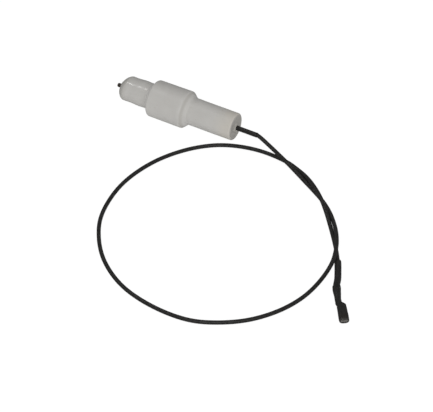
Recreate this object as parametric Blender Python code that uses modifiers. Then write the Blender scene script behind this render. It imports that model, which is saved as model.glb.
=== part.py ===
"""Flame sensor probe: a glazed ceramic insulator that holds a metal electrode, with a thin
black lead crimped to the electrode inside it and a push-on receptacle on the lead's far end.

Metres, +Z up. The insulator lies on its collar with its axis along X: the electrode's tip
points along -X and the lead leaves along +X. The origin is under the middle of the probe,
on the surface that it lies on. The lead lies on the same surface in one open loop.
"""

import math

import bmesh
import bpy
from mathutils import Vector

COLLECTION = "flame_sensor_probe"

# ---- Driving dimensions, all in metres ----

# Insulator, from its nose to its rear face
NOSE_RADIUS = 0.00575
COLLAR_RADIUS = 0.0083
TAIL_RADIUS = 0.00609
DOME_HEIGHT = 0.0036
NOSE_LENGTH = 0.0112
FRONT_SHOULDER = 0.0015
COLLAR_LENGTH = 0.0163
REAR_SHOULDER = 0.0025
TAIL_LENGTH = 0.0214
ROD_STUB = 0.0019
EDGE_ROUND = 0.0009
CORNER_ROUND = 0.0008

# Bores in the insulator
ROD_BORE_RADIUS = 0.0009
SEAL_CUP_RADIUS = 0.0017
SEAL_CUP_DEPTH = 0.0011
CHAMBER_RADIUS = 0.0023
CHAMBER_LENGTH = 0.0326

# Electrode and the splice behind it
ROD_RADIUS = 0.0008
ROD_END_ROUND = 0.0003
FERRULE_RADIUS = 0.0013
FERRULE_CRIMP_RADIUS = 0.0009
FERRULE_LENGTH = 0.0090
FERRULE_SETBACK = 0.0032
FERRULE_CONE = 0.0006
FERRULE_BORE_CONE = 0.0004
ROD_END_SPACE = 0.0005
WASHER_RADIUS = 0.0021
WASHER_THICKNESS = 0.0005
SPLICE_SLEEVE_RADIUS = 0.0019
SPLICE_SLEEVE_LENGTH = 0.0135
SPLICE_SLEEVE_LAP = 0.0010
BARE_WIRE_LENGTH = 0.0025
POTTING_LENGTH = 0.0125
POTTING_RECESS = 0.0002
# Heights of the nose seal's face behind the nose's end: at the rim, halfway and at the rod
SEAL_FACE = (0.00018, -0.00012, -0.00030)

# Lead
LEAD_RADIUS = 0.00082
STRAND_RADIUS = 0.00014
STRAND_PITCH_RADIUS = 0.0003
STRAND_LAY = 0.012
OUTER_STRANDS = 6
STRAND_STICK_OUT = 0.0003
EXIT_SLEEVE_RADIUS = 0.00098
EXIT_SLEEVE_INSIDE = 0.0080
EXIT_SLEEVE_OUTSIDE = 0.0104
LEAD_SLEEVE_RADIUS = 0.00135
ROUTE_SPACING = 0.0064

# Receptacle for a flat tab 2.8 mm wide, and the boot over it
SHEET = 0.0002
BOX_WIDTH = 0.0032
BOX_HEIGHT = 0.0016
BOX_LENGTH = 0.0070
CURL_RADIUS = 0.00042
SHEET_BEND = 0.0003
NECK_WIDTH = 0.0021
NECK_HEIGHT = 0.0008
NECK_CURL = 0.0002
WIRE_BARREL_RADIUS = 0.0006
LINK_RADIUS = 0.0008
BOOT_WALL = 0.0002
BOOT_MOUTH_WIDTH = 0.0040
BOOT_BODY_WIDTH = 0.0038
BOOT_HEIGHT = 0.0028

# Fits
GAP = 0.00005
SLEEVE_GAP = 0.00003
BOOT_GAP = 0.00008

# Mesh fineness
TURNED_STEPS = 48
SMALL_STEPS = 20
ARC_STEPS = 5
MERGE = 0.00001

# ---- Stations along X that follow from the lengths ----

OVERALL_LENGTH = (ROD_STUB + DOME_HEIGHT + NOSE_LENGTH + FRONT_SHOULDER + COLLAR_LENGTH
                  + REAR_SHOULDER + TAIL_LENGTH)
TIP_X = -OVERALL_LENGTH / 2
APEX_X = TIP_X + ROD_STUB
DOME_X = APEX_X + DOME_HEIGHT
NOSE_END_X = DOME_X + NOSE_LENGTH
COLLAR_FRONT_X = NOSE_END_X + FRONT_SHOULDER
COLLAR_REAR_X = COLLAR_FRONT_X + COLLAR_LENGTH
TAIL_X = COLLAR_REAR_X + REAR_SHOULDER
REAR_X = TAIL_X + TAIL_LENGTH
CHAMBER_X = REAR_X - CHAMBER_LENGTH
AXIS_Z = COLLAR_RADIUS

WASHER_X = CHAMBER_X + GAP
FERRULE_X = WASHER_X + WASHER_THICKNESS + FERRULE_SETBACK
FERRULE_STEP_X = FERRULE_X + 0.6 * FERRULE_LENGTH
FERRULE_END_X = FERRULE_X + FERRULE_LENGTH
ROD_END_X = FERRULE_STEP_X - ROD_END_SPACE
SPLICE_SLEEVE_X = FERRULE_X - SPLICE_SLEEVE_LAP
LEAD_START_X = FERRULE_END_X + BARE_WIRE_LENGTH
SLEEVE_END_X = REAR_X + EXIT_SLEEVE_OUTSIDE

# ---- The lead's route: chosen points, each (x, y, height) ----
# It leaves the ceramic straight, sinks to the surface, winds round its own far end for one
# turn, makes the big loop and comes back to that turn from underneath.
LIE = 0.0009
ROUTE = [
    (LEAD_START_X, 0, AXIS_Z), (REAR_X, 0, AXIS_Z), (0.0381, 0, AXIS_Z),
    (SLEEVE_END_X + 0.0002, 0, AXIS_Z), (0.0466, -0.0010, 0.0055), (0.0506, -0.0018, 0.0038),
    (0.0546, -0.0030, 0.00265), (0.0663, -0.0084, 0.001), (0.0786, -0.0156, LIE),
    (0.0841, -0.0200, 0.00098), (0.0890, -0.0255, 0.00145), (0.0936, -0.0323, 0.00245),
    (0.0971, -0.0395, 0.00295), (0.0995, -0.0483, 0.00285), (0.0991, -0.0575, 0.00105),
    (0.0971, -0.0692, LIE), (0.0923, -0.0801, LIE), (0.0842, -0.0903, LIE),
    (0.0742, -0.0976, LIE), (0.0630, -0.1022, LIE), (0.0473, -0.1028, LIE),
    (0.0304, -0.0988, LIE), (0.0169, -0.0903, LIE), (0.0076, -0.0794, LIE),
    (0.0017, -0.0669, LIE), (-0.0001, -0.0476, LIE), (0.0046, -0.0295, LIE),
    (0.0131, -0.0159, LIE), (0.0229, -0.0071, LIE), (0.0327, -0.0027, LIE),
    (0.0431, -0.0009, LIE), (0.0548, -0.0017, LIE), (0.0608, -0.0036, LIE),
    (0.0670, -0.0069, 0.00165), (0.0729, -0.0115, 0.0026), (0.0782, -0.0161, 0.00255),
    (0.0830, -0.0211, 0.00182), (0.0876, -0.0265, LIE), (0.0925, -0.0329, LIE),
    (0.0970, -0.0392, LIE), (0.1006, -0.0451, 0.00139), (0.1020, -0.0477, 0.0014),
    (0.1050, -0.0540, 0.0014),
]

# The long sleeve over the lead's far end starts here, at a point of the route
LEAD_SLEEVE_START = Vector((0.1006, -0.0451, 0.00139))

# The receptacle lies on the surface: where its mouth is, and the way it points
MOUTH = Vector((0.1177, -0.0737, 0.00142))
MOUTH_HEADING = math.radians(-56.0)

# The far end's centre line in the receptacle's own frame, mouth at 0 and the lead at -x:
# (distance behind the mouth, sideways, height). The neck is bent a little to one side.
TAIL_LINE = [
    (0.0000, 0.0, 0.0), (0.0084, 0.0, 0.0), (0.0102, -0.00092, 0.00002),
    (0.0118, -0.00096, 0.00008), (0.0155, -0.00080, 0.00022), (0.0199, -0.00058, 0.00024),
]
BOX_FRONT = 0.0004
LEAD_IN_LENGTH = 0.0006
NECK = (0.0087, 0.0092)
WIRE_BARREL = (0.0100, 0.0122)
JACKET_BARREL = (0.0132, 0.0154)
LEAD_END_BACK = 0.0135
LEAD_SLEEVE_END_BACK = 0.0157
BOOT_LENGTH = 0.0191

# The boot's outline at distances behind the mouth. Power 2 is an ellipse, higher is squarer.
ROUND_NECK = LEAD_RADIUS + SLEEVE_GAP + SHEET + SLEEVE_GAP + BOOT_WALL
ROUND_BACK = LEAD_SLEEVE_RADIUS + BOOT_GAP + BOOT_WALL
HALF_MOUTH = BOOT_MOUTH_WIDTH / 2
HALF_BODY = BOOT_BODY_WIDTH / 2
HALF_HEIGHT = BOOT_HEIGHT / 2
# (distance, half width, power) where it has its full height
BOOT_FLAT = [
    (0.0000, 0.97 * HALF_MOUTH, 2.4), (0.0010, HALF_MOUTH, 2.7), (0.0039, HALF_BODY, 3.0),
    (0.0066, HALF_BODY, 3.0), (0.0084, HALF_BODY, 2.9),
]
# (distance, half width, half height, power) where it narrows to the lead
BOOT_TAPER = [
    (0.0092, 0.92 * HALF_BODY, 0.97 * HALF_HEIGHT, 2.5), (0.0100, 0.00145, 0.0013, 2.2),
    (0.0107, ROUND_NECK, ROUND_NECK, 2.0),
]
# Distances where it is round: over the crimps, and over the lead's sleeve
BOOT_NECK = (0.0118, 0.0134)
BOOT_BACK = (LEAD_SLEEVE_END_BACK, 0.0174, BOOT_LENGTH)

# ---- Colours, roughness and metallic value of each material ----

MATERIALS = {
    "glazed_ceramic": ((0.74, 0.73, 0.70), 0.12, 0.0),
    "electrode_alloy": ((0.22, 0.19, 0.16), 0.45, 1.0),
    "plated_steel": ((0.62, 0.61, 0.58), 0.30, 1.0),
    "cement": ((0.62, 0.60, 0.55), 0.85, 0.0),
    "glass_fibre_sleeving": ((0.80, 0.77, 0.68), 0.80, 0.0),
    "black_silicone": ((0.020, 0.020, 0.021), 0.45, 0.0),
    "black_shrink_sleeve": ((0.016, 0.016, 0.017), 0.38, 0.0),
    "tinned_copper": ((0.75, 0.72, 0.66), 0.30, 1.0),
    "tinned_brass": ((0.70, 0.68, 0.62), 0.28, 1.0),
}


# ---- Helpers ----

def clear_scene():
    for obj in list(bpy.data.objects):
        bpy.data.objects.remove(obj, do_unlink=True)


def new_collection(name):
    collection = bpy.data.collections.new(name)
    bpy.context.scene.collection.children.link(collection)
    return collection


def material(name):
    found = bpy.data.materials.get(name)
    if found:
        return found
    colour, roughness, metallic = MATERIALS[name]
    made = bpy.data.materials.new(name)
    made.use_nodes = True
    shader = made.node_tree.nodes["Principled BSDF"]
    shader.inputs["Base Color"].default_value = (*colour, 1.0)
    shader.inputs["Roughness"].default_value = roughness
    shader.inputs["Metallic"].default_value = metallic
    return made


def place(name, data, material_name, parent=None):
    """Adds one sub-part to the probe's collection."""
    obj = bpy.data.objects.new(name, data)
    data.materials.append(material(material_name))
    bpy.data.collections[COLLECTION].objects.link(obj)
    obj.parent = parent
    return obj


def rounded(corners):
    """An outline of (along, across) points from corners (along, across, fillet radius)."""
    points = []
    for i, (x, r, fillet) in enumerate(corners):
        corner = Vector((x, r))
        if fillet == 0:
            points.append(corner)
            continue
        before = (Vector(corners[i - 1][:2]) - corner).normalized()
        after = (Vector(corners[i + 1][:2]) - corner).normalized()
        half = before.angle(after) / 2
        centre = corner + (before + after).normalized() * (fillet / math.sin(half))
        start = corner + before * (fillet / math.tan(half)) - centre
        end = corner + after * (fillet / math.tan(half)) - centre
        swing = start.angle_signed(end)
        for step in range(ARC_STEPS + 1):
            turn = -swing * step / ARC_STEPS
            spoke = Vector((start.x * math.cos(turn) - start.y * math.sin(turn),
                            start.x * math.sin(turn) + start.y * math.cos(turn)))
            points.append(centre + spoke)
    return points


def turned(name, outline, material_name, closed, steps=SMALL_STEPS):
    """A piece turned round the probe's axis. The outline is (x, radius), outer side first
    and from the rear to the front; a closed one is a ring, an open one ends on the axis."""
    mesh = bpy.data.meshes.new(name)
    count = len(outline)
    edges = [(i, i + 1) for i in range(count - 1)]
    if closed:
        edges.append((count - 1, 0))
    mesh.from_pydata([(r, 0, x) for x, r in outline], edges, [])
    obj = place(name, mesh, material_name)
    obj.location = (0, 0, AXIS_Z)
    obj.rotation_euler = (0, math.pi / 2, 0)
    screw = obj.modifiers.new("Turn", "SCREW")
    screw.axis = "Z"
    screw.angle = math.tau
    screw.steps = steps
    screw.render_steps = steps
    screw.use_merge_vertices = True
    screw.merge_threshold = MERGE
    screw.use_smooth_shade = True
    return obj


def ring(name, start, end, inner, outer, material_name, steps=SMALL_STEPS):
    outline = [(end, outer), (start, outer), (start, inner), (end, inner)]
    return turned(name, outline, material_name, closed=True, steps=steps)


def smooth_path(points, spacing):
    """Points along a centripetal Catmull-Rom curve through the given ones, with at most
    the given spacing between them."""
    knots = [Vector(p) for p in points]
    knots = [2 * knots[0] - knots[1]] + knots + [2 * knots[-1] - knots[-2]]
    path = []
    for p0, p1, p2, p3 in zip(knots, knots[1:], knots[2:], knots[3:]):
        t1 = math.sqrt((p1 - p0).length)
        t2 = t1 + math.sqrt((p2 - p1).length)
        t3 = t2 + math.sqrt((p3 - p2).length)
        pieces = max(1, math.ceil((p2 - p1).length / spacing))
        for piece in range(pieces):
            t = t1 + (t2 - t1) * piece / pieces
            a1 = p0.lerp(p1, t / t1)
            a2 = p1.lerp(p2, (t - t1) / (t2 - t1))
            a3 = p2.lerp(p3, (t - t2) / (t3 - t2))
            b1 = a1.lerp(a2, t / t2)
            b2 = a2.lerp(a3, (t - t1) / (t3 - t1))
            path.append(b1.lerp(b2, (t - t1) / (t2 - t1)))
    path.append(knots[-2])
    return path


def tube(name, path, radius, material_name, capped=True, parent=None, resolution=2):
    curve = bpy.data.curves.new(name, "CURVE")
    curve.dimensions = "3D"
    curve.bevel_depth = radius
    curve.bevel_resolution = resolution
    curve.use_fill_caps = capped
    spline = curve.splines.new("POLY")
    spline.points.add(len(path) - 1)
    for point, place_at in zip(spline.points, path):
        point.co = (*place_at, 1.0)
    spline.use_smooth = True
    return place(name, curve, material_name, parent)


def hollow_tube(name, path, outer, inner, material_name):
    """A sleeve: an open tube turned into a mesh and given its wall."""
    guide = tube(name + "_surface", path, outer, material_name, capped=False, resolution=4)
    bpy.context.view_layer.update()
    evaluated = guide.evaluated_get(bpy.context.evaluated_depsgraph_get())
    mesh = bpy.data.meshes.new_from_object(evaluated)
    mesh.name = name
    mesh.materials.clear()
    obj = place(name, mesh, material_name)
    bpy.data.objects.remove(guide, do_unlink=True)
    give_wall(obj, outer - inner)
    return obj


def give_wall(obj, thickness):
    wall = obj.modifiers.new("Wall", "SOLIDIFY")
    wall.thickness = thickness
    wall.offset = -1.0
    wall.use_even_offset = True


def loft(name, sections, material_name, wrapped, parent=None):
    """A skin through sections that have the same number of points each."""
    mesh = bpy.data.meshes.new(name)
    build = bmesh.new()
    rows = [[build.verts.new(p) for p in section] for section in sections]
    for near, far in zip(rows, rows[1:]):
        for i in range(len(near) if wrapped else len(near) - 1):
            j = (i + 1) % len(near)
            build.faces.new((near[i], far[i], far[j], near[j]))
    for face in build.faces:
        face.smooth = True
    build.to_mesh(mesh)
    build.free()
    return place(name, mesh, material_name, parent)


def resample(points, count):
    """The same open outline as count points, evenly spaced along it."""
    lengths = [0.0]
    for a, b in zip(points, points[1:]):
        lengths.append(lengths[-1] + (b - a).length)
    result = []
    for step in range(count):
        wanted = lengths[-1] * step / (count - 1)
        i = min(next(k for k, s in enumerate(lengths) if s >= wanted - 1e-12), len(points) - 1)
        i = max(i, 1)
        share = (wanted - lengths[i - 1]) / (lengths[i] - lengths[i - 1])
        result.append(points[i - 1].lerp(points[i], share))
    return result


def arc(centre, radius, start, end, steps=6):
    """Points on an arc, angles in degrees, in the (sideways, height) plane."""
    angles = [math.radians(start + (end - start) * k / steps) for k in range(steps + 1)]
    return [centre + Vector((radius * math.cos(a), radius * math.sin(a))) for a in angles]


# ---- Ceramic insulator and what is sealed in it ----

def insulator_body():
    outline = rounded([
        (REAR_X, CHAMBER_RADIUS, 0),
        (REAR_X, TAIL_RADIUS, EDGE_ROUND),
        (TAIL_X, TAIL_RADIUS, CORNER_ROUND),
        (COLLAR_REAR_X, COLLAR_RADIUS, EDGE_ROUND),
        (COLLAR_FRONT_X, COLLAR_RADIUS, EDGE_ROUND),
        (NOSE_END_X, NOSE_RADIUS, CORNER_ROUND),
        (DOME_X, NOSE_RADIUS, 0),
    ])
    cup_angle = math.asin(SEAL_CUP_RADIUS / NOSE_RADIUS)
    dome_steps = 8
    for step in range(1, dome_steps + 1):
        angle = math.pi / 2 + (cup_angle - math.pi / 2) * step / dome_steps
        across = NOSE_RADIUS * math.sin(angle)
        along = DOME_X - DOME_HEIGHT * math.cos(angle)
        outline.append(Vector((along, across)))
    cup_floor = APEX_X + SEAL_CUP_DEPTH
    outline += [
        Vector((cup_floor, SEAL_CUP_RADIUS)),
        Vector((cup_floor, ROD_BORE_RADIUS)),
        Vector((CHAMBER_X, ROD_BORE_RADIUS)),
        Vector((CHAMBER_X, CHAMBER_RADIUS)),
    ]
    return turned("insulator_body", outline, "glazed_ceramic", closed=True,
                  steps=TURNED_STEPS)


def electrode_rod():
    outline = [Vector((ROD_END_X, 0))] + rounded([
        (ROD_END_X, ROD_RADIUS, 0),
        (TIP_X, ROD_RADIUS, ROD_END_ROUND),
        (TIP_X, 0, 0),
    ])
    return turned("electrode_rod", outline, "electrode_alloy", closed=False)


def nose_seal():
    """Cement in the cup round the rod, its face following the dome."""
    floor = APEX_X + SEAL_CUP_DEPTH - GAP
    rim = SEAL_CUP_RADIUS - GAP
    hole = ROD_RADIUS + GAP
    outline = [
        (floor, rim),
        (APEX_X + SEAL_FACE[0], rim),
        (APEX_X + SEAL_FACE[1], 0.5 * (rim + hole)),
        (APEX_X + SEAL_FACE[2], hole),
        (floor, hole),
    ]
    return turned("nose_seal", outline, "cement", closed=True)


def splice_pieces():
    ring("rod_retaining_washer", WASHER_X, WASHER_X + WASHER_THICKNESS,
         ROD_RADIUS + GAP, WASHER_RADIUS, "plated_steel")
    wide_bore = ROD_RADIUS + GAP
    narrow_bore = STRAND_PITCH_RADIUS + STRAND_RADIUS + GAP
    outline = [
        (FERRULE_END_X, FERRULE_CRIMP_RADIUS),
        (FERRULE_STEP_X + FERRULE_CONE, FERRULE_CRIMP_RADIUS),
        (FERRULE_STEP_X, FERRULE_RADIUS),
        (FERRULE_X, FERRULE_RADIUS),
        (FERRULE_X, wide_bore),
        (FERRULE_STEP_X, wide_bore),
        (FERRULE_STEP_X + FERRULE_BORE_CONE, narrow_bore),
        (FERRULE_END_X, narrow_bore),
    ]
    turned("crimp_ferrule", outline, "plated_steel", closed=True)
    ring("splice_sleeve", SPLICE_SLEEVE_X, SPLICE_SLEEVE_X + SPLICE_SLEEVE_LENGTH,
         FERRULE_RADIUS + GAP, SPLICE_SLEEVE_RADIUS, "glass_fibre_sleeving")
    end = REAR_X - POTTING_RECESS
    ring("rear_potting", end - POTTING_LENGTH, end,
         EXIT_SLEEVE_RADIUS + GAP, CHAMBER_RADIUS - GAP, "cement")


# ---- Bare ends of the lead's conductor ----

def strands(prefix, start, length, parent):
    """Seven wires, one straight in the middle and six laid round it, along local +X."""
    steps = 8
    for number in range(OUTER_STRANDS + 1):
        pitch = 0 if number == 0 else STRAND_PITCH_RADIUS
        first = math.tau * number / OUTER_STRANDS
        path = []
        for step in range(steps + 1):
            along = length * step / steps
            turn = first + math.tau * along / STRAND_LAY
            offset = Vector((along, pitch * math.cos(turn), pitch * math.sin(turn)))
            path.append(Vector(start) + offset)
        tube(f"{prefix}_{number + 1}", path, STRAND_RADIUS, "tinned_copper", parent=parent)


# ---- Lead ----

def mouth_frame():
    empty = bpy.data.objects.new("receptacle_frame", None)
    bpy.data.collections[COLLECTION].objects.link(empty)
    empty.location = MOUTH
    empty.rotation_euler = (0, 0, MOUTH_HEADING)
    bpy.context.view_layer.update()
    return empty


def tail_offset(back):
    """Sideways and height of the far end's centre line, at a distance behind the mouth."""
    for (x0, y0, z0), (x1, y1, z1) in zip(TAIL_LINE, TAIL_LINE[1:]):
        if back <= x1 or x1 == TAIL_LINE[-1][0]:
            share = (back - x0) / (x1 - x0)
            share = share if share > 1 else share * share * (3 - 2 * share)
            return y0 + (y1 - y0) * share, z0 + (z1 - z0) * share
    return 0.0, 0.0


def tail_point(back):
    sideways, height = tail_offset(back)
    return Vector((-back, sideways, height))


def lead_pieces(frame):
    to_world = frame.matrix_world
    far_end = [to_world @ tail_point(back)
               for back in (BOOT_LENGTH, LEAD_SLEEVE_END_BACK, LEAD_END_BACK)]
    path = smooth_path(ROUTE + [tuple(p) for p in far_end], ROUTE_SPACING)
    tube("lead_jacket", path, LEAD_RADIUS, "black_silicone")
    ring("exit_sleeve", REAR_X - EXIT_SLEEVE_INSIDE, SLEEVE_END_X, LEAD_RADIUS + SLEEVE_GAP,
         EXIT_SLEEVE_RADIUS, "black_shrink_sleeve", steps=24)
    first = min(range(len(path)), key=lambda i: (path[i] - LEAD_SLEEVE_START).length)
    last = min(range(len(path)), key=lambda i: (path[i] - far_end[1]).length)
    hollow_tube("lead_sleeve", path[first:last + 1], LEAD_SLEEVE_RADIUS, LEAD_RADIUS + GAP,
                "black_shrink_sleeve")


# ---- Receptacle ----

SECTION_POINTS = 25


def box_section(width, height, curl, curl_end):
    """Half of the stamped box: base, side wall and the edge curled over towards the tab.
    curl_end is the angle in degrees where the curl stops."""
    half = width / 2
    low, high = -height / 2, height / 2
    bend = min(SHEET_BEND, height / 3)
    points = [Vector((0, low))]
    points += arc(Vector((half - bend, low + bend)), bend, -90, 0, 4)
    points += arc(Vector((half - curl, high - curl)), curl, 0, curl_end, 8)
    return points


def barrel_section(radius, opening):
    """Half of a crimped barrel, closed but for a slit at the top."""
    return arc(Vector((0, 0)), radius, -90, 90 - opening, 16)


def whole_section(half):
    right = resample(half, (SECTION_POINTS + 1) // 2)
    left = [Vector((-p.x, p.y)) for p in reversed(right[1:])]
    return left + right


def receptacle_terminal(frame):
    box = box_section(BOX_WIDTH - SHEET, BOX_HEIGHT - SHEET, CURL_RADIUS, 190)
    lead_in = box_section(BOX_WIDTH - SHEET, BOX_HEIGHT, CURL_RADIUS, 150)
    neck = box_section(NECK_WIDTH, NECK_HEIGHT, NECK_CURL, 30)
    wire_barrel = barrel_section(WIRE_BARREL_RADIUS, 14)
    link = barrel_section(LINK_RADIUS, 95)
    jacket_barrel = barrel_section(LEAD_RADIUS + SLEEVE_GAP + SHEET / 2, 12)
    stations = [
        (BOX_FRONT, lead_in), (BOX_FRONT + LEAD_IN_LENGTH, box),
        (BOX_FRONT + BOX_LENGTH, box), (NECK[0], neck), (NECK[1], neck),
        (WIRE_BARREL[0], wire_barrel),
        (0.5 * sum(WIRE_BARREL), wire_barrel), (WIRE_BARREL[1], wire_barrel),
        (0.5 * (WIRE_BARREL[1] + JACKET_BARREL[0]), link), (JACKET_BARREL[0], jacket_barrel),
        (0.5 * sum(JACKET_BARREL), jacket_barrel), (JACKET_BARREL[1], jacket_barrel),
    ]
    sections = []
    for back, half in stations:
        sideways, height = tail_offset(back)
        sections.append([Vector((-back, sideways + p.x, height + p.y))
                         for p in whole_section(half)])
    obj = loft("receptacle_terminal", sections, "tinned_brass", wrapped=False, parent=frame)
    give_wall(obj, SHEET)
    obj.modifiers["Wall"].offset = 0.0
    return obj


def terminal_boot(frame):
    """The sleeve over the far end: round over the lead, flat-sided over the receptacle."""
    stations = [(back, wide, HALF_HEIGHT, power) for back, wide, power in BOOT_FLAT]
    stations += BOOT_TAPER
    stations += [(back, ROUND_NECK, ROUND_NECK, 2.0) for back in BOOT_NECK]
    stations += [(back, ROUND_BACK, ROUND_BACK, 2.0) for back in BOOT_BACK]
    around = 28
    sections = []
    for back, wide, high, power in stations:
        sideways, height = tail_offset(back)
        section = []
        for k in range(around):
            angle = math.tau * k / around
            c, s = math.cos(angle), math.sin(angle)
            y = wide * math.copysign(abs(c) ** (2 / power), c)
            z = high * math.copysign(abs(s) ** (2 / power), s)
            section.append(Vector((-back, sideways + y, height + z)))
        sections.append(section)
    obj = loft("terminal_boot", sections, "black_shrink_sleeve", wrapped=True, parent=frame)
    give_wall(obj, BOOT_WALL)
    return obj


def build():
    clear_scene()
    new_collection(COLLECTION)
    insulator_body()
    electrode_rod()
    nose_seal()
    splice_pieces()
    frame = mouth_frame()
    lead_pieces(frame)
    strand_start = FERRULE_STEP_X + FERRULE_CONE
    strands("probe_strand", (strand_start, 0, AXIS_Z), LEAD_START_X - GAP - strand_start, None)
    receptacle_terminal(frame)
    wire_back = WIRE_BARREL[1] - (LEAD_END_BACK - GAP)
    wire_length = LEAD_END_BACK - GAP - (WIRE_BARREL[0] - STRAND_STICK_OUT)
    strands("terminal_strand", tail_point(WIRE_BARREL[1]) + Vector((wire_back, 0, 0)),
            wire_length, frame)
    terminal_boot(frame)


build()
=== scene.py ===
import math

import bmesh
import bpy
from mathutils import Matrix, Vector, noise

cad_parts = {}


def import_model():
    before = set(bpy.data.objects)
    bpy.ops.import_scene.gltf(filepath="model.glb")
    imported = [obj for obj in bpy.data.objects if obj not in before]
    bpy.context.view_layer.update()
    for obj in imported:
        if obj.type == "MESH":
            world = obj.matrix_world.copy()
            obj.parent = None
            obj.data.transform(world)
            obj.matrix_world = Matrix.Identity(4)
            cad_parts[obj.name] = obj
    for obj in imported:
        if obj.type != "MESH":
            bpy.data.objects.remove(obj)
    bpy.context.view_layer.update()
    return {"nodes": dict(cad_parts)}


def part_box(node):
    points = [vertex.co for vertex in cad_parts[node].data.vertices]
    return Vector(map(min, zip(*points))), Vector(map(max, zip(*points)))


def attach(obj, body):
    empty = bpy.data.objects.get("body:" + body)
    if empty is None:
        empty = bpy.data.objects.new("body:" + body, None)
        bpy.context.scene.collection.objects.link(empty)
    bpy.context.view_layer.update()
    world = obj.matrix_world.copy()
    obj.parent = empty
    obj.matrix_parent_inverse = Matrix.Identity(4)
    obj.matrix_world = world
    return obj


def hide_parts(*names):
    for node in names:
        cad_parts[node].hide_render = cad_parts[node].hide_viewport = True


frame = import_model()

# A flame sensor probe: a glazed ceramic insulator that holds a short electrode, and a thin
# black lead that lies in one open loop and ends in a sleeved push-on receptacle. Metres, +Z up.
# The insulator's axis runs along X, with its nose to -X and the lead leaving to +X.

# ---- Places and sizes, from the frame and a few lengths ----


def box_of(node):
    """A CAD node's lowest and highest corners, to the micrometre."""
    return [[round(v, 6) for v in corner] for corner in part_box(node)]


insulator_low, insulator_high = box_of("insulator_body")
rod_low, rod_high = box_of("electrode_rod")
exit_sleeve_low, exit_sleeve_high = box_of("exit_sleeve")

# Lengths of the insulator, from its rear face to its nose
TAIL_LENGTH = 0.0214
REAR_SHOULDER = 0.0025
COLLAR_LENGTH = 0.0161
FRONT_SHOULDER = 0.0015
NOSE_LENGTH = 0.0114
DOME_HEIGHT = 0.0036
CHAMBER_DEPTH = 0.0326

# Places along the axis
AXIS_Z = (insulator_low[2] + insulator_high[2]) / 2
REAR_X = insulator_high[0]
TAIL_X = REAR_X - TAIL_LENGTH
COLLAR_REAR_X = TAIL_X - REAR_SHOULDER
COLLAR_FRONT_X = COLLAR_REAR_X - COLLAR_LENGTH
NOSE_END_X = COLLAR_FRONT_X - FRONT_SHOULDER
DOME_X = NOSE_END_X - NOSE_LENGTH
APEX_X = DOME_X - DOME_HEIGHT
CHAMBER_FRONT_X = REAR_X - CHAMBER_DEPTH
ROD_END_X = rod_high[0]
TIP_X = rod_low[0] - 0.0001
SLEEVE_START_X = exit_sleeve_low[0]
SLEEVE_END_X = exit_sleeve_high[0]
LEAD_START_X = REAR_X - 0.01735

# Radii
REAR_RADIUS = 0.00606
TAIL_RADIUS = 0.00611
COLLAR_REAR_RADIUS = 0.00838
COLLAR_FRONT_RADIUS = 0.00825
NOSE_RADIUS = 0.00579
DOME_RADIUS = 0.00566
CHAMBER_RADIUS = 0.0023
ROD_BORE_RADIUS = 0.0009
CUP_RADIUS = 0.0017
CUP_DEPTH = 0.0011
ROD_RADIUS = 0.0008
LEAD_RADIUS = 0.00088
LEAD_UNEVENNESS = 0.000012
EXIT_SLEEVE_RADIUS = 0.00106
EXIT_SLEEVE_BORE = LEAD_RADIUS + 0.00002
LONG_SLEEVE_RADIUS = 0.00143
LONG_SLEEVE_BORE = LEAD_RADIUS + 0.00003

# The direction, across its axis, to which the ceramic is a little off centre and leans
UP_SIDE = Vector((0.0, 0.742, 0.670))

# ---- Camera ----

VIEW_AZIMUTH = math.radians(28.5)
VIEW_ELEVATION = math.radians(44.2)
CAMERA_PLACE = (0.375207, -0.654617, 0.681322)
LENS = 193.8
SENSOR_WIDTH = 36.0


def add_object(name, data):
    obj = bpy.data.objects.new(name, data)
    bpy.context.scene.collection.objects.link(obj)
    return obj


def add_camera():
    data = bpy.data.cameras.new("camera")
    data.lens = LENS
    data.sensor_width = SENSOR_WIDTH
    data.clip_start = 0.01
    obj = add_object("camera", data)
    away = Vector((math.sin(VIEW_AZIMUTH) * math.cos(VIEW_ELEVATION),
                   -math.cos(VIEW_AZIMUTH) * math.cos(VIEW_ELEVATION),
                   math.sin(VIEW_ELEVATION)))
    obj.location = CAMERA_PLACE
    obj.rotation_euler = away.to_track_quat("Z", "Y").to_euler()
    bpy.context.scene.camera = obj


add_camera()


# ---- Helpers ----

def smoothstep(x, low, high):
    t = min(max((x - low) / (high - low), 0.0), 1.0)
    return t * t * (3 - 2 * t)


def turn(around):
    """The angles of evenly spaced points round a circle."""
    return [math.tau * i / around for i in range(around)]


def on_axis(x):
    return Vector((x, 0, AXIS_Z))


def nearest(path, point):
    return min(range(len(path)), key=lambda i: (path[i] - point).length)


def add_mesh(name, verts, faces, material, uvs=None, smooth=True):
    mesh = bpy.data.meshes.new(name)
    mesh.from_pydata([tuple(v) for v in verts], [], faces)
    if uvs:
        layer = mesh.uv_layers.new(name="UVMap")
        for loop in mesh.loops:
            layer.data[loop.index].uv = uvs[loop.vertex_index]
    for polygon in mesh.polygons:
        polygon.use_smooth = smooth
    mesh.materials.append(material)
    return add_object(name, mesh)


def face_out(obj):
    build = bmesh.new()
    build.from_mesh(obj.data)
    bmesh.ops.recalc_face_normals(build, faces=build.faces)
    build.to_mesh(obj.data)
    build.free()


def sharpen(obj, degrees):
    """Marks the edges where two faces meet at more than this angle as sharp."""
    build = bmesh.new()
    build.from_mesh(obj.data)
    for edge in build.edges:
        if len(edge.link_faces) == 2 and edge.calc_face_angle(0) > math.radians(degrees):
            edge.smooth = False
    build.to_mesh(obj.data)
    build.free()


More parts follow.
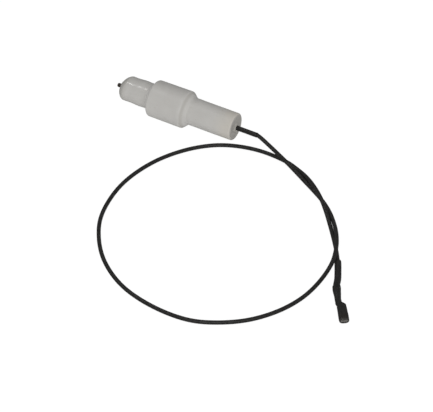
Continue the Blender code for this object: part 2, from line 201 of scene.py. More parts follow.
def skin(name, rings, material, ends="caps", uvs=None):
    """A closed surface through rings of the same number of points. With ends caps, the first
    and last rings are filled, and with ends joined they are joined to each other."""
    around = len(rings[0])
    verts = [p for ring in rings for p in ring]
    last = len(rings) - 1
    pairs = [(k, k + 1) for k in range(last)]
    if ends == "joined":
        pairs.append((last, 0))
    faces = []
    for near, far in pairs:
        for i in range(around):
            j = (i + 1) % around
            faces.append((near * around + i, far * around + i, far * around + j,
                          near * around + j))
    if ends == "caps":
        faces.append(tuple(reversed(range(around))))
        faces.append(tuple(last * around + i for i in range(around)))
    obj = add_mesh(name, verts, faces, material, uvs)
    face_out(obj)
    return obj


def turned_rings(outline, around, point_at):
    """Rings about the insulator's axis for an outline of (x, radius). point_at(x, radius, spoke)
    gives each point, where spoke is the unit vector from the axis towards it."""
    spokes = [Vector((0, math.cos(angle), math.sin(angle))) for angle in turn(around)]
    return [[point_at(x, r, spoke) for spoke in spokes] for x, r in outline]


def smooth_path(points, spacing):
    """Points along a centripetal Catmull-Rom curve through the given ones."""
    knots = [Vector(p) for p in points]
    knots = [2 * knots[0] - knots[1]] + knots + [2 * knots[-1] - knots[-2]]
    path = []
    for p0, p1, p2, p3 in zip(knots, knots[1:], knots[2:], knots[3:]):
        t1 = math.sqrt((p1 - p0).length)
        t2 = t1 + math.sqrt((p2 - p1).length)
        t3 = t2 + math.sqrt((p3 - p2).length)
        pieces = max(1, math.ceil((p2 - p1).length / spacing))
        for piece in range(pieces):
            t = t1 + (t2 - t1) * piece / pieces
            a1 = p0.lerp(p1, t / t1)
            a2 = p1.lerp(p2, (t - t1) / (t2 - t1))
            a3 = p2.lerp(p3, (t - t2) / (t3 - t2))
            b1 = a1.lerp(a2, t / t2)
            b2 = a2.lerp(a3, (t - t1) / (t3 - t1))
            path.append(b1.lerp(b2, (t - t1) / (t2 - t1)))
    path.append(knots[-2])
    return path


def frames_along(path):
    """For each point of a path: the point, a sideways and an upward unit vector."""
    headings = []
    for i in range(len(path)):
        before, after = path[max(i - 1, 0)], path[min(i + 1, len(path) - 1)]
        headings.append((after - before).normalized())
    side = headings[0].cross(Vector((0, 0, 1)))
    side.normalize()
    frames = []
    for point, heading in zip(path, headings):
        side = (side - heading * side.dot(heading)).normalized()
        frames.append((point, side, side.cross(heading).normalized()))
    return frames


def tube_rings(path, radius_at, around):
    """Rings round a path, and their UVs: the distance along it and the share of a turn.
    radius_at(distance, angle) gives each point's radius."""
    rings, uvs = [], []
    travelled = 0.0
    previous = path[0]
    for point, side, up in frames_along(path):
        travelled += (point - previous).length
        previous = point
        ring = []
        for i, angle in enumerate(turn(around)):
            r = radius_at(travelled, angle)
            ring.append(point + side * (r * math.cos(angle)) + up * (r * math.sin(angle)))
            uvs.append((travelled, i / around))
        rings.append(ring)
    return rings, uvs


def last_ring_first(uvs, around):
    """UVs of rings, with the rings in reverse order."""
    return [uv for start in reversed(range(0, len(uvs), around))
            for uv in uvs[start:start + around]]


# How far a sleeve's outer edge is set back where its rim is softened
RIM = 0.00008


def sleeve(name, path, outer_at, inner, material, around):
    """A hollow tube. Its rim is softened at its first end and cut square at its last."""
    outside, outer_uvs = tube_rings(path, outer_at, around)
    inside, inner_uvs = tube_rings(path, lambda s, angle: inner, around)
    rims = [[centre + (p - centre) * (1 - RIM / (p - centre).length) for p in ring]
            for ring, centre in ((outside[0], path[0]), (outside[-1], path[-1]))]
    step = (path[1] - path[0]).normalized() * RIM
    outside[0] = [p + step for p in outside[0]]
    return skin(name, [rims[0]] + outside + [rims[1]] + inside[::-1], material, ends="joined",
                uvs=outer_uvs[:around] + outer_uvs + outer_uvs[-around:]
                + last_ring_first(inner_uvs, around))


# ---- Materials ----

class Nodes:
    """A material being built from nodes."""

    def __init__(self, name):
        self.material = bpy.data.materials.new(name)
        self.material.use_nodes = True
        self.tree = self.material.node_tree
        self.shader = self.tree.nodes["Principled BSDF"]

    def add(self, kind, **settings):
        node = self.tree.nodes.new(kind)
        for key, value in settings.items():
            setattr(node, key, value)
        return node

    def link(self, output, node, socket):
        self.tree.links.new(output, node.inputs[socket])

    def place(self, source="Object", scale=(1, 1, 1), rotation=(0, 0, 0)):
        coords = self.add("ShaderNodeTexCoord")
        mapping = self.add("ShaderNodeMapping")
        mapping.inputs["Scale"].default_value = scale
        mapping.inputs["Rotation"].default_value = rotation
        self.link(coords.outputs[source], mapping, "Vector")
        return mapping.outputs["Vector"]

    def x_of(self, where):
        node = self.add("ShaderNodeSeparateXYZ")
        self.link(where, node, "Vector")
        return node.outputs["X"]

    def noise(self, where, scale, detail=3.0, roughness=0.5, distortion=0.0):
        node = self.add("ShaderNodeTexNoise")
        node.inputs["Scale"].default_value = scale
        node.inputs["Detail"].default_value = detail
        node.inputs["Roughness"].default_value = roughness
        node.inputs["Distortion"].default_value = distortion
        self.link(where, node, "Vector")
        return node.outputs["Fac"]

    def waves(self, where, scale, distortion):
        node = self.add("ShaderNodeTexWave")
        node.inputs["Scale"].default_value = scale
        node.inputs["Distortion"].default_value = distortion
        self.link(where, node, "Vector")
        return node.outputs["Fac"]

    def ramp(self, value, stops):
        """Colours, or amounts, between stops of (value, colour or amount)."""
        node = self.add("ShaderNodeValToRGB")
        elements = node.color_ramp.elements
        while len(elements) < len(stops):
            elements.new(0.5)
        for element, (position, colour) in zip(elements, stops):
            element.position = position
            colour = (colour,) * 3 if isinstance(colour, float) else colour
            element.color = (*colour, 1.0)
        self.link(value, node, "Fac")
        return node.outputs["Color"]

    def mix(self, factor, a, b):
        """Colour a, with the factor's share of colour b. Each may be a socket or a value."""
        node = self.add("ShaderNodeMix", data_type="RGBA")
        for socket, value in ((node.inputs[0], factor), (node.inputs[6], a),
                              (node.inputs[7], b)):
            if isinstance(value, bpy.types.NodeSocket):
                self.tree.links.new(value, socket)
            elif isinstance(value, tuple):
                socket.default_value = (*value, 1.0)
            else:
                socket.default_value = value
        return node.outputs[2]

    def combine(self, operation, a, b):
        node = self.add("ShaderNodeMath", operation=operation)
        self.link(a, node, 0)
        self.link(b, node, 1)
        return node.outputs[0]

    def spread(self, value, low, high):
        """A noise's value, which runs from about 0.3 to 0.7, spread from low to high."""
        node = self.add("ShaderNodeMapRange")
        node.inputs["From Min"].default_value = 0.3
        node.inputs["From Max"].default_value = 0.7
        node.inputs["To Min"].default_value = low
        node.inputs["To Max"].default_value = high
        self.link(value, node, "Value")
        return node.outputs["Result"]

    def fade(self, value, start, end, amount=1.0, curve="SMOOTHSTEP"):
        """Runs from 0 where the value is start to the amount where it is end."""
        node = self.add("ShaderNodeMapRange", interpolation_type=curve)
        node.inputs["From Min"].default_value = start
        node.inputs["From Max"].default_value = end
        node.inputs["To Max"].default_value = amount
        self.link(value, node, "Value")
        return node.outputs["Result"]

    def bump(self, height, distance, strength=1.0, under=None):
        node = self.add("ShaderNodeBump")
        node.inputs["Strength"].default_value = strength
        node.inputs["Distance"].default_value = distance
        self.link(height, node, "Height")
        if under is not None:
            self.link(under, node, "Normal")
        return node.outputs["Normal"]

    def finish(self, colour, roughness, normal=None, metallic=0.0, **sockets):
        self.link(colour, self.shader, "Base Color")
        self.link(roughness, self.shader, "Roughness")
        self.shader.inputs["Metallic"].default_value = metallic
        if normal is not None:
            self.link(normal, self.shader, "Normal")
        for key, value in sockets.items():
            self.shader.inputs[key.replace("_", " ")].default_value = value
        return self.material


GLAZE_DARKER = (0.395, 0.386, 0.368)
GLAZE_LIGHTER = (0.425, 0.416, 0.398)
GLAZE_WARM = (0.435, 0.408, 0.362)
# Painted light: it lifts the shade where the collar rises and paints highlights by the collar's
# rear edge
PAINTED_LIGHT_TINT = (0.600, 0.588, 0.566)
# Painted shade on the dome, darker towards the tip
PAINTED_DOME_SHADE = (0.330, 0.324, 0.300)
# A darker grey: the painted shade line on the collar's rear edge, and the rear face
DARKER_CERAMIC = (0.335, 0.322, 0.298)
SPECK = (0.30, 0.27, 0.22)

# How much painted light, how much painted shade and how rough the glaze is, at each share of the
# way from the dome's rim to the rear face. The painted light lifts the shade where the collar
# rises and is a painted highlight on each side of the collar's rear edge; a painted shade line
# lies on that edge.
PAINTED_LIGHT_AT = [(0.203, 0.0), (0.222, 0.62), (0.236, 0.62), (0.251, 0.0), (0.520, 0.0),
             (0.540, 0.09), (0.552, 0.0), (0.570, 0.0), (0.580, 0.13), (0.605, 0.0)]
PAINTED_SHADE_AT = [(0.548, 0.0), (0.558, 0.60), (0.565, 0.60), (0.575, 0.0)]
ROUGHNESS_AT = [(0.19, 0.20), (0.24, 0.38), (0.50, 0.40), (0.60, 0.42)]


def glazed_ceramic():
    """Off-white glaze, faintly cloudy, with a warmer rear end, a darker rear face, painted shade
    on the dome, painted light where the collar rises, painted highlights and a painted shade
    line at the collar's rear edge, a few specks, slow waves and orange peel."""
    n = Nodes("glazed_ceramic_look")
    where = n.place()
    x = n.x_of(where)
    cloud = n.noise(where, 190, 4.0, 0.55)
    along = n.fade(x, DOME_X, REAR_X, curve="LINEAR")
    ragged = n.combine("ADD", along, n.spread(cloud, -0.003, 0.003))
    rear_end = n.fade(x, REAR_X - 0.0097, REAR_X - 0.0002)
    specks = n.ramp(n.noise(where, 2600, 1.0), [(0.245, 1.0), (0.265, 0.0)])
    colour = n.ramp(cloud, [(0.30, GLAZE_DARKER), (0.70, GLAZE_LIGHTER)])
    for amount, tint in (
            (n.combine("MULTIPLY", rear_end, n.spread(cloud, 0.5, 1.0)), GLAZE_WARM),
            # painted light where the collar rises, and painted highlights beside the collar's
            # rear edge
            (n.ramp(ragged, PAINTED_LIGHT_AT), PAINTED_LIGHT_TINT),
            # a painted shade line on the collar's rear edge
            (n.ramp(ragged, PAINTED_SHADE_AT), DARKER_CERAMIC),
            # the rear face darker
            (n.fade(x, REAR_X - 0.0004, REAR_X - 0.0001), DARKER_CERAMIC),
            # painted shade on the dome
            (n.fade(x, DOME_X + 0.0017, DOME_X - 0.0013, amount=0.72), PAINTED_DOME_SHADE),
            (specks, SPECK)):
        colour = n.mix(amount, colour, tint)
    uneven = n.spread(n.noise(where, 420, 3.0), -0.03, 0.05)
    roughness = n.combine("ADD", n.ramp(along, ROUGHNESS_AT), uneven)
    peel = n.bump(n.noise(where, 900, 2.0, 0.5), 0.000012, 0.5)
    normal = n.bump(n.noise(where, 250, 1.0, 0.4), 0.00012, 0.6, under=peel)
    return n.finish(colour, roughness, normal, Specular_IOR_Level=0.45)


def cement():
    """Grainy and matt."""
    n = Nodes("cement_look")
    grain = n.noise(n.place(), 2400, 6.0, 0.65)
    colour = n.ramp(grain, [(0.35, (0.30, 0.288, 0.262)), (0.65, (0.37, 0.358, 0.332))])
    return n.finish(colour, n.spread(grain, 0.75, 0.95), n.bump(grain, 0.0001, 0.7))


def oxidised_alloy():
    """The electrode: dull heat-resisting wire with a brown scale and drawn marks."""
    n = Nodes("oxidised_alloy_look")
    scale = n.noise(n.place(), 1300, 5.0, 0.6, 0.4)
    colour = n.ramp(scale, [(0.32, (0.035, 0.028, 0.024)), (0.55, (0.085, 0.070, 0.060)),
                            (0.72, (0.150, 0.130, 0.115))])
    drawn = n.noise(n.place(scale=(0.08, 1, 1)), 9000, 2.0)
    return n.finish(colour, n.spread(scale, 0.42, 0.62), n.bump(drawn, 0.00002, 0.6),
                    metallic=0.75)


def plated(name, dark, light, low=0.22, high=0.40, metallic=1.0):
    """Plated metal, patchy between a dark and a light tone and a low and a high roughness."""
    n = Nodes(name)
    where = n.place()
    patch = n.noise(where, 900, 4.0, 0.6)
    fine = n.noise(where, 9000, 2.0)
    colour = n.ramp(patch, [(0.32, dark), (0.68, light)])
    return n.finish(colour, n.spread(patch, low, high), n.bump(fine, 0.00001, 0.5),
                    metallic=metallic)


def black_silicone():
    """The lead's jacket: satin black, faintly dusty, with a fine extruded skin."""
    n = Nodes("black_silicone_look")
    lengthwise = n.place("UV", (1.0, 0.0055, 1.0))
    dust = n.noise(n.place(), 700, 5.0, 0.65)
    colour = n.ramp(dust, [(0.38, (0.0080, 0.0077, 0.0073)), (0.70, (0.0205, 0.0197, 0.0186))])
    skin_marks = n.noise(lengthwise, 1500, 3.0, 0.6)
    slow = n.noise(lengthwise, 160, 2.0)
    return n.finish(colour, n.spread(slow, 0.36, 0.56), n.bump(skin_marks, 0.00003, 0.55),
                    Specular_IOR_Level=0.42)


def shrink_sleeve(name, cut_end=False):
    """Black shrink tube: streaks and fine lines along it and soft ripples where it has
    gripped. With a cut end, the first part of it is browner and its rim duller."""
    n = Nodes(name)
    lines = n.noise(n.place("UV", (0.05, 0.0085, 1.0)), 2600, 2.0, 0.5)
    streaks = n.noise(n.place("UV", (0.09, 0.0085, 1.0)), 700, 2.0, 0.6)
    dust = n.noise(n.place(), 900, 5.0, 0.65)
    colour = n.ramp(n.mix(0.4, streaks, dust), [(0.36, (0.0048, 0.0046, 0.0043)),
                                                (0.66, (0.0185, 0.0176, 0.0165))])
    if cut_end:
        distance = n.x_of(n.place("UV"))
        patchy = n.spread(streaks, 0.3, 1.2)
        for start, end, tint in ((0.0062, 0.0010, (0.0150, 0.0118, 0.0096)),
                                 (0.0009, 0.0002, (0.0400, 0.0380, 0.0350))):
            near = n.fade(distance, start, end, amount=0.75)
            colour = n.mix(n.combine("MULTIPLY", near, patchy), colour, tint)
    ripple = n.noise(n.place("UV", (1.0, 0.004, 1.0)), 520, 2.0)
    normal = n.bump(ripple, 0.00006, 0.5, under=n.bump(lines, 0.00002, 0.6))
    return n.finish(colour, n.spread(dust, 0.34, 0.52), normal, Specular_IOR_Level=0.45)


def glass_fibre():
    """Braided sleeving: two sets of threads that cross, with a little fuzz."""
    n = Nodes("glass_fibre_look")
    lay = 0.7
    one_way, other_way = (n.waves(n.place(rotation=(slant, 0, slant)), 900, 0.6)
                          for slant in (lay, -lay))
    weave = n.mix(0.5, one_way, other_way)
    colour = n.ramp(weave, [(0.2, (0.42, 0.39, 0.31)), (0.8, (0.66, 0.63, 0.54))])
    fuzz = n.noise(n.place(), 5000, 3.0)
    return n.finish(colour, n.spread(fuzz, 0.75, 0.9), n.bump(weave, 0.00008, 0.8))


GLAZE = glazed_ceramic()
CEMENT = cement()
ALLOY = oxidised_alloy()
NICKEL = plated("plated_steel_look", (0.36, 0.35, 0.33), (0.56, 0.55, 0.52))
TIN = plated("tinned_brass_look", (0.34, 0.33, 0.31), (0.60, 0.585, 0.55), 0.30, 0.50, 0.7)
TINNED_WIRE = plated("tinned_copper_look", (0.46, 0.43, 0.38), (0.68, 0.65, 0.60))
SILICONE = black_silicone()
SHRINK = shrink_sleeve("black_shrink_sleeve_look")
BOOT_LOOK = shrink_sleeve("black_boot_look", cut_end=True)
FIBRE = glass_fibre()


def cad_look(node, material):
    """Gives a CAD node whose shape is kept its material."""
    obj = frame["nodes"][node]
    obj.data.materials.clear()
    obj.data.materials.append(material)


# ---- The lead: the same route as its solid ----

# The height of its centre line where it lies on the floor
LIE = 0.0009
ROUTE = [
    (LEAD_START_X, 0, AXIS_Z), (REAR_X, 0, AXIS_Z), (0.0381, 0, AXIS_Z),
    (SLEEVE_END_X + 0.0002, 0, AXIS_Z), (0.0466, -0.0010, 0.0055), (0.0506, -0.0018, 0.0038),
    (0.0546, -0.0030, 0.00265), (0.0663, -0.0084, 0.001), (0.0786, -0.0156, LIE),
    (0.0841, -0.0200, 0.00098), (0.0890, -0.0255, 0.00145), (0.0936, -0.0323, 0.00245),
    (0.0971, -0.0395, 0.00295), (0.0995, -0.0483, 0.00285), (0.0991, -0.0575, 0.00105),
    (0.0971, -0.0692, LIE), (0.0923, -0.0801, LIE), (0.0842, -0.0903, LIE),
    (0.0742, -0.0976, LIE), (0.0630, -0.1022, LIE), (0.0473, -0.1028, LIE),
    (0.0304, -0.0988, LIE), (0.0169, -0.0903, LIE), (0.0076, -0.0794, LIE),
    (0.0017, -0.0669, LIE), (-0.0001, -0.0476, LIE), (0.0046, -0.0295, LIE),
    (0.0131, -0.0159, LIE), (0.0229, -0.0071, LIE), (0.0327, -0.0027, LIE),
    (0.0431, -0.0009, LIE), (0.0548, -0.0017, LIE), (0.0608, -0.0036, LIE),
    (0.0670, -0.0069, 0.00165), (0.0729, -0.0115, 0.0026), (0.0782, -0.0161, 0.00255),
    (0.0830, -0.0211, 0.00182), (0.0876, -0.0265, LIE), (0.0925, -0.0329, LIE),
    (0.0970, -0.0392, LIE), (0.1006, -0.0451, 0.00139), (0.1020, -0.0477, 0.0014),
    (0.1050, -0.0540, 0.0014),
]
LEAD_SLEEVE_START = Vector((0.1006, -0.0451, 0.00139))
PATH_SPACING = 0.0011

# The receptacle's mouth. Distances behind it give the rest of this end.
MOUTH = Vector((0.1177, -0.0737, 0.00142))
MOUTH_HEADING = math.radians(-56.0)
TO_MOUTH = Matrix.Translation(MOUTH) @ Matrix.Rotation(MOUTH_HEADING, 4, "Z")
LEAD_END_BACK = 0.0135
LEAD_SLEEVE_END_BACK = 0.0157
BOOT_LENGTH = 0.0191
# (distance behind the mouth, shift sideways, shift upwards) of this end's centre line
TAIL_LINE = [
    (0.0000, 0.0, 0.0), (0.0084, 0.0, 0.0), (0.0102, -0.00092, 0.00002),
    (0.0118, -0.00096, 0.00008), (0.0155, -0.00080, 0.00022), (0.0199, -0.00058, 0.00024),
]


def tail_offset(back):
    """The centre line's shift sideways and upwards at a distance behind the mouth."""
    (x0, y0, z0), (x1, y1, z1) = next(pair for pair in zip(TAIL_LINE, TAIL_LINE[1:])
                                      if back <= pair[1][0])
    share = smoothstep(back, x0, x1)
    return y0 + (y1 - y0) * share, z0 + (z1 - z0) * share


def tail_world(back):
    sideways, height = tail_offset(back)
    return TO_MOUTH @ Vector((-back, sideways, height))


boot_end, long_sleeve_end, lead_end = (
    tail_world(back) for back in (BOOT_LENGTH, LEAD_SLEEVE_END_BACK, LEAD_END_BACK))
lead_path = smooth_path(ROUTE + [boot_end, long_sleeve_end, lead_end], PATH_SPACING)


def lead_radius(s, angle):
    """Very slightly uneven, as an extruded silicone jacket is."""
    uneven = noise.noise(Vector((s * 90, math.cos(angle) * 0.4, 3.0)))
    return LEAD_RADIUS + LEAD_UNEVENNESS * uneven


lead_rings, lead_uvs = tube_rings(lead_path, lead_radius, around=24)
lead = skin("lead", lead_rings, SILICONE, uvs=lead_uvs)
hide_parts("lead_jacket")
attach(lead, "root")


def gripped(radius, depth, per_metre, seed):
    """A shrunk sleeve's radius, which varies a little where it has gripped."""
    def radius_at(s, angle):
        where = Vector((s * per_metre, math.cos(angle), math.sin(angle) + seed))
        return radius + depth * noise.noise(where)
    return radius_at


def exit_sleeve():
    steps = 24
    step = (SLEEVE_END_X - SLEEVE_START_X) / steps
    path = [on_axis(SLEEVE_START_X + step * k) for k in range(steps + 1)]
    return sleeve("lead_exit_sleeve", path, gripped(EXIT_SLEEVE_RADIUS, 0.00002, 420, 0),
                  EXIT_SLEEVE_BORE, SHRINK, around=28)


def long_sleeve():
    first = nearest(lead_path, LEAD_SLEEVE_START)
    last = nearest(lead_path, long_sleeve_end)
    return sleeve("lead_long_sleeve", lead_path[first:last + 1],
                  gripped(LONG_SLEEVE_RADIUS, 0.00004, 260, 5), LONG_SLEEVE_BORE, SHRINK,
                  around=32)


# ---- The boot over the receptacle ----

def blend_stations(stations, count):
    """Smooth values between stations, without overshoot; each starts with its distance."""
    def slope(i, column):
        if i in (0, len(stations) - 1):
            return 0.0
        a, b, c = stations[i - 1:i + 2]
        before = (b[column] - a[column]) / (b[0] - a[0])
        after = (c[column] - b[column]) / (c[0] - b[0])
        return 2 * before * after / (before + after) if before * after > 0 else 0.0

    rows = []
    start, end = stations[0][0], stations[-1][0]
    for k in range(count):
        at = start + (end - start) * k / (count - 1)
        i = max(j for j in range(len(stations) - 1) if stations[j][0] <= at + 1e-12)
        near, far = stations[i], stations[i + 1]
        gap = far[0] - near[0]
        t = (at - near[0]) / gap
        row = [at]
        for column in range(1, len(near)):
            row.append((2 * t ** 3 - 3 * t * t + 1) * near[column]
                       + (3 * t * t - 2 * t ** 3) * far[column]
                       + gap * (t ** 3 - 2 * t * t + t) * slope(i, column)
                       + gap * (t ** 3 - t * t) * slope(i + 1, column))
        rows.append(row)
    return rows


# (distance behind the mouth, half width, half height, squareness: 2 is an ellipse)
BOOT = [
    (0.0000, 0.00200, 0.00140, 2.3), (0.0010, 0.00207, 0.00140, 2.6),
    (0.0027, 0.00207, 0.00140, 3.0), (0.0050, 0.00200, 0.00140, 3.0),
    (0.0073, 0.00195, 0.00140, 3.0), (0.0084, 0.00191, 0.00140, 2.9),
    (0.0092, 0.00167, 0.00137, 2.5), (0.0100, 0.00143, 0.00133, 2.2),
    (0.0108, 0.00133, 0.00132, 2.0), (0.0119, 0.00131, 0.00131, 2.0),
    (0.0130, 0.00136, 0.00136, 2.0), (0.0142, 0.00146, 0.00146, 2.0),
    (0.0153, 0.00157, 0.00157, 2.0), (0.0165, 0.00167, 0.00167, 2.0),
    (0.0176, 0.00173, 0.00173, 2.0), (BOOT_LENGTH, 0.00173, 0.00173, 2.0),
]
BOOT_WALL = 0.00022
# The wall is this much thicker at the mouth, and thins to BOOT_WALL between these distances
MOUTH_THICKENING = 0.00020
MOUTH_THINS = (0.0006, 0.0030)
BOOT_RIM = 0.00009


def wrinkle(back, c, s):
    """How far the boot stands out: short folds across it and a few long ones along it."""
    across = 0.00003 * noise.noise(Vector((back * 700, c * 1.5, s * 1.5)))
    return across + 0.00002 * noise.noise(Vector((back * 90, c * 5, s * 5 + 9)))


def boot():
    around = 48
    outside, inside, uvs = [], [], []
    rows = blend_stations(BOOT, 96)
    for k, (back, wide, high, squareness) in enumerate(rows):
        sideways, height = tail_offset(back)
        rim = BOOT_RIM if k in (0, len(rows) - 1) else 0.0
        wall = BOOT_WALL + MOUTH_THICKENING * (1 - smoothstep(back, *MOUTH_THINS))
        outer_ring, inner_ring = [], []
        for i, angle in enumerate(turn(around)):
            c, s = math.cos(angle), math.sin(angle)
            for ring, inset in ((outer_ring, rim - wrinkle(back, c, s)), (inner_ring, wall)):
                y = (wide - inset) * math.copysign(abs(c) ** (2 / squareness), c)
                z = (high - inset) * math.copysign(abs(s) ** (2 / squareness), s)
                ring.append(TO_MOUTH @ Vector((-back, sideways + y, height + z)))
            uvs.append((back, i / around))
        outside.append(outer_ring)
        inside.append(inner_ring)
    return skin("receptacle_boot", outside + inside[::-1], BOOT_LOOK, ends="joined",
                uvs=uvs + last_ring_first(uvs, around))


exit_piece = exit_sleeve()
long_piece = long_sleeve()
boot_piece = boot()
for piece, node in ((exit_piece, "exit_sleeve"), (long_piece, "lead_sleeve"),
                    (boot_piece, "terminal_boot")):
    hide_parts(node)
    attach(piece, "root")
cad_look("receptacle_terminal", TIN)
for number in range(1, 8):
    cad_look(f"terminal_strand_{number}", TINNED_WIRE)
    cad_look(f"probe_strand_{number}", TINNED_WIRE)


# ---- The ceramic insulator ----

# Its corners as (x, radius, radius of the corner's rounding), from the rear hole's rim
CORNERS = [
    (REAR_X, CHAMBER_RADIUS, None), (REAR_X, REAR_RADIUS, 0.0008),
    (TAIL_X, TAIL_RADIUS, 0.0008), (COLLAR_REAR_X, COLLAR_REAR_RADIUS, 0.0011),
    (COLLAR_FRONT_X, COLLAR_FRONT_RADIUS, 0.0012), (NOSE_END_X, NOSE_RADIUS, 0.0019),
    (DOME_X, DOME_RADIUS, None),
]
DOME_STEPS = 20
# With 1 the dome is an ellipse, and above 1 it is less full
DOME_POWER = 1.2
LONGEST_STEP = 0.0006
# How far the tail and the nose are off the axis, towards UP_SIDE
TAIL_SHIFT = 0.00018
NOSE_SHIFT = 0.0001
# How much the dome and the rear face lean: the shift along X for each metre towards UP_SIDE
DOME_LEAN = 0.11
REAR_LEAN = -0.035
# (place along the nose, how far its skin stands off an even taper there)
SWELLS = [(-0.0260, 0.00008), (-0.0209, -0.00008), (-0.0167, 0.00008), (-0.0141, -0.00005),
          (NOSE_END_X, -0.00005)]
# The swells are full at the second of these places, and nothing is left of them at the first
SWELLS_FADE = (-0.0248, -0.0226)
# Only what is outside this radius is uneven: the holes and their rims are round
EVEN_RADIUS = 0.0024


def fillet(before, corner, after, radius, steps=9):
    """The arc that rounds the corner of an (x, radius) outline between two of its points."""
    back = (before - corner).normalized()
    on = (after - corner).normalized()
    half = back.angle(on) / 2
    reach = radius / math.tan(half)
    start, end = corner + back * reach, corner + on * reach
    centre = corner + (back + on).normalized() * (radius / math.sin(half))
    spokes = [(start - centre).lerp(end - centre, k / steps) for k in range(steps + 1)]
    return [centre + spoke.normalized() * radius for spoke in spokes]


def insulator_outline():
    """(x, radius) from the rear hole's rim, over the outside, to the rim of the seal's cup."""
    points = [Vector(corner[:2]) for corner in CORNERS]
    outline = [points[0]]
    for k in range(1, len(CORNERS) - 1):
        outline += fillet(*points[k - 1:k + 2], CORNERS[k][2])
    outline.append(points[-1])
    rim_angle = math.asin(CUP_RADIUS / DOME_RADIUS)
    for k in range(1, DOME_STEPS + 1):
        angle = math.pi / 2 + (rim_angle - math.pi / 2) * k / DOME_STEPS
        outline.append(Vector((DOME_X - (DOME_X - APEX_X) * math.cos(angle) ** DOME_POWER,
                               DOME_RADIUS * math.sin(angle))))
    return outline


def split_long(outline, longest):
    """Adds points to an outline so that no step along it is longer than the longest."""
    result = [outline[0]]
    for a, b in zip(outline, outline[1:]):
        pieces = max(1, math.ceil((b - a).length / longest))
        result += [a.lerp(b, k / pieces) for k in range(1, pieces + 1)]
    return result


def swell(x):
    """How far the nose's skin stands off an even taper."""
    if not SWELLS[0][0] < x < SWELLS[-1][0]:
        return 0.0
    (x0, out0), (x1, out1) = next(pair for pair in zip(SWELLS, SWELLS[1:])
                                  if x < pair[1][0])
    share = (1 - math.cos(math.pi * (x - x0) / (x1 - x0))) / 2
    return (out0 + (out1 - out0) * share) * smoothstep(x, *SWELLS_FADE)


def waviness(point):
    """How far the skin stands out: slow waves and shallower, quicker ones."""
    return noise.noise(point * 130) * 0.000045 + noise.noise(point * 420) * 0.000012


def glazed_point(x, r, spoke):
    """A point of the outside. The tail and the nose are a little off the axis, the dome and
    the rear face lean, and the skin is faintly wavy."""
    nose = 1 - smoothstep(x, NOSE_END_X - 0.0006, COLLAR_FRONT_X)
    if r <= EVEN_RADIUS:
        return on_axis(x) + UP_SIDE * (NOSE_SHIFT * nose) + spoke * r
    tail = smoothstep(x, COLLAR_REAR_X, TAIL_X)
    dome = 1 - smoothstep(x, DOME_X, DOME_X + 0.0035)
    rear = smoothstep(x, REAR_X - 0.004, REAR_X)
    r += swell(x)
    point = on_axis(x) + UP_SIDE * (TAIL_SHIFT * tail + NOSE_SHIFT * nose) + spoke * r
    point += spoke * waviness(point)
    point.x += (DOME_LEAN * dome + REAR_LEAN * rear) * r * spoke.dot(UP_SIDE)
    return point


def bore_point(x, r, spoke):
    return on_axis(x) + spoke * r


def insulator():
    around = 144
    cup_floor = APEX_X + CUP_DEPTH
    bore = [(cup_floor, CUP_RADIUS), (cup_floor, ROD_BORE_RADIUS),
            (CHAMBER_FRONT_X, ROD_BORE_RADIUS), (CHAMBER_FRONT_X, CHAMBER_RADIUS)]
    outside = split_long(insulator_outline(), LONGEST_STEP)
    rings = turned_rings(outside, around, glazed_point) + turned_rings(bore, around, bore_point)
    obj = skin("insulator", rings, GLAZE, ends="joined")
    sharpen(obj, degrees=50)
    return obj


insulator_piece = insulator()
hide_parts("insulator_body")
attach(insulator_piece, "root")

# ---- Electrode, seal and the splice inside ----

# (distance behind the tip, radius) of the electrode's stub, up to its rounded end
STUB = [(0.0030, ROD_RADIUS), (0.0024, 0.00088), (0.0012, 0.00090), (0.0005, 0.00092),
        (0.00022, 0.00084), (0.00006, 0.00062), (0.0, 0.0003), (0.0, 0.00002)]


def rod_point(x, r, spoke):
    """A point of the electrode, which is scaly but for the middle of its end."""
    scaly = r > 0.0004
    scale = 0.00003 * noise.noise(Vector((x * 900, spoke.y, spoke.z))) if scaly else 0.0
    return on_axis(x) + spoke * (r + scale)


def rod():
    outline = [(ROD_END_X, ROD_RADIUS), (0.0, ROD_RADIUS)]
    outline += [(TIP_X + back, r) for back, r in STUB]
    return skin("electrode", turned_rings(outline, 36, rod_point), ALLOY, ends="caps")


rod_piece = rod()
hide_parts("electrode_rod")
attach(rod_piece, "root")

# (distance past the rear face, radius) of the cement, from the lead inside to the lead outside
POTTING = [
    (-0.0127, 0.00104), (-0.0127, 0.00228), (-0.0002, 0.00228), (0.00002, 0.00226),
    (0.00006, 0.00205), (0.00011, 0.00175), (0.00018, 0.00148), (0.00028, 0.00127),
    (0.00038, 0.00115), (0.00044, 0.00110), (0.00040, 0.00104),
]


def potting_point(x, r, spoke):
    """A point of the cement, which is uneven only where it is drawn up past the rear face."""
    drawn_up = x - REAR_X > 0.0001
    lift = 0.00008 * noise.noise(spoke * 1.7 + Vector((r * 900, 0, 4))) if drawn_up else 0.0
    return on_axis(x + lift) + spoke * r


def potting():
    """Cement that fills the rear hole and is drawn up a little round the lead's sleeve."""
    outline = [(REAR_X + past, r) for past, r in POTTING]
    return skin("rear_seal", turned_rings(outline, 64, potting_point), CEMENT, ends="joined")


potting_piece = potting()
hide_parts("rear_potting")
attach(potting_piece, "root")

for node, look in (("nose_seal", CEMENT), ("rod_retaining_washer", NICKEL),
                   ("crimp_ferrule", NICKEL), ("splice_sleeve", FIBRE)):
    cad_look(node, look)


# ---- Floor and light ----

FLOOR_HALF_SIZE = 3.0
FLOOR_Z = -0.0002
# The floor's own glow, which keeps it near white under the soft lights
FLOOR_GLOW = 0.90
WORLD_STRENGTH = 0.20
LIGHTS_AIM = Vector((0.02, -0.02, 0.0))
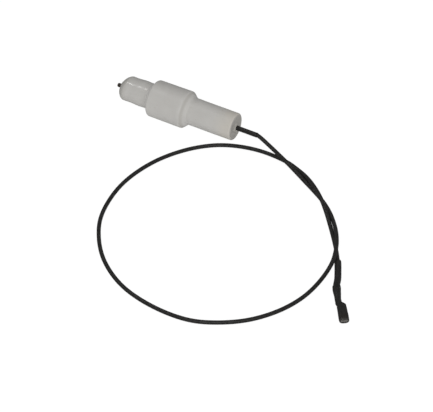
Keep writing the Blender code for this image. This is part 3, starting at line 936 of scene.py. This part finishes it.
# (name, direction from the aim, distance, width and height, power, is it seen in reflections)
LIGHTS = [
    ("key", (0.25, -0.68, 0.69), 1.2, (0.62, 0.62), 8.6, False),
    ("right_fill", (0.98, 0.0, 0.17), 1.2, (0.5, 0.3), 0.6, False),
    ("front_right_fill", (0.80, -0.45, 0.35), 1.2, (0.4, 0.4), 1.8, False),
    ("left_fill", (-0.97, 0.14, 0.22), 1.2, (0.5, 0.3), 0.3, False),
    ("back_fill", (0.0, 0.57, 0.82), 1.2, (0.5, 0.5), 2.8, False),
    ("top_glint", (-0.415, -0.002, 0.910), 1.22, (0.10, 0.06), 1.05, True),
    ("front_glint", (0.342, -0.630, 0.697), 1.2, (0.07, 0.07), 2.0, True),
]


def floor():
    n = Nodes("floor_look")
    cloud = n.noise(n.place(), 6.0, 2.0)
    colour = n.ramp(cloud, [(0.3, 0.13), (0.7, 0.15)])
    n.shader.inputs["Emission Color"].default_value = (1, 1, 1, 1)
    n.shader.inputs["Emission Strength"].default_value = FLOOR_GLOW
    material = n.finish(colour, n.spread(cloud, 0.85, 0.95))
    corners = [(x * FLOOR_HALF_SIZE, y * FLOOR_HALF_SIZE, 0)
               for x, y in ((-1, -1), (1, -1), (1, 1), (-1, 1))]
    obj = add_mesh("floor", corners, [(0, 1, 2, 3)], material, smooth=False)
    obj.location.z = FLOOR_Z
    obj.visible_glossy = False


def area_light(name, direction, distance, size, power, glossy):
    """A softbox that points at the object from a direction. Without glossy it lights
    surfaces but shows no reflection of itself."""
    data = bpy.data.lights.new(name, "AREA")
    data.shape = "RECTANGLE"
    data.size, data.size_y = size
    data.energy = power
    obj = add_object(name, data)
    away = Vector(direction).normalized()
    obj.location = LIGHTS_AIM + away * distance
    obj.rotation_euler = away.to_track_quat("Z", "Y").to_euler()
    obj.visible_glossy = glossy
    obj.visible_camera = False


def world(strength):
    made = bpy.data.worlds.new("studio")
    bpy.context.scene.world = made
    made.use_nodes = True
    background = made.node_tree.nodes["Background"]
    background.inputs["Color"].default_value = (1.0, 1.0, 1.0, 1.0)
    background.inputs["Strength"].default_value = strength


floor()
world(WORLD_STRENGTH)
for light in LIGHTS:
    area_light(*light)
bpy.context.scene.view_settings.view_transform = "Standard"
bpy.context.scene.view_settings.look = "None"
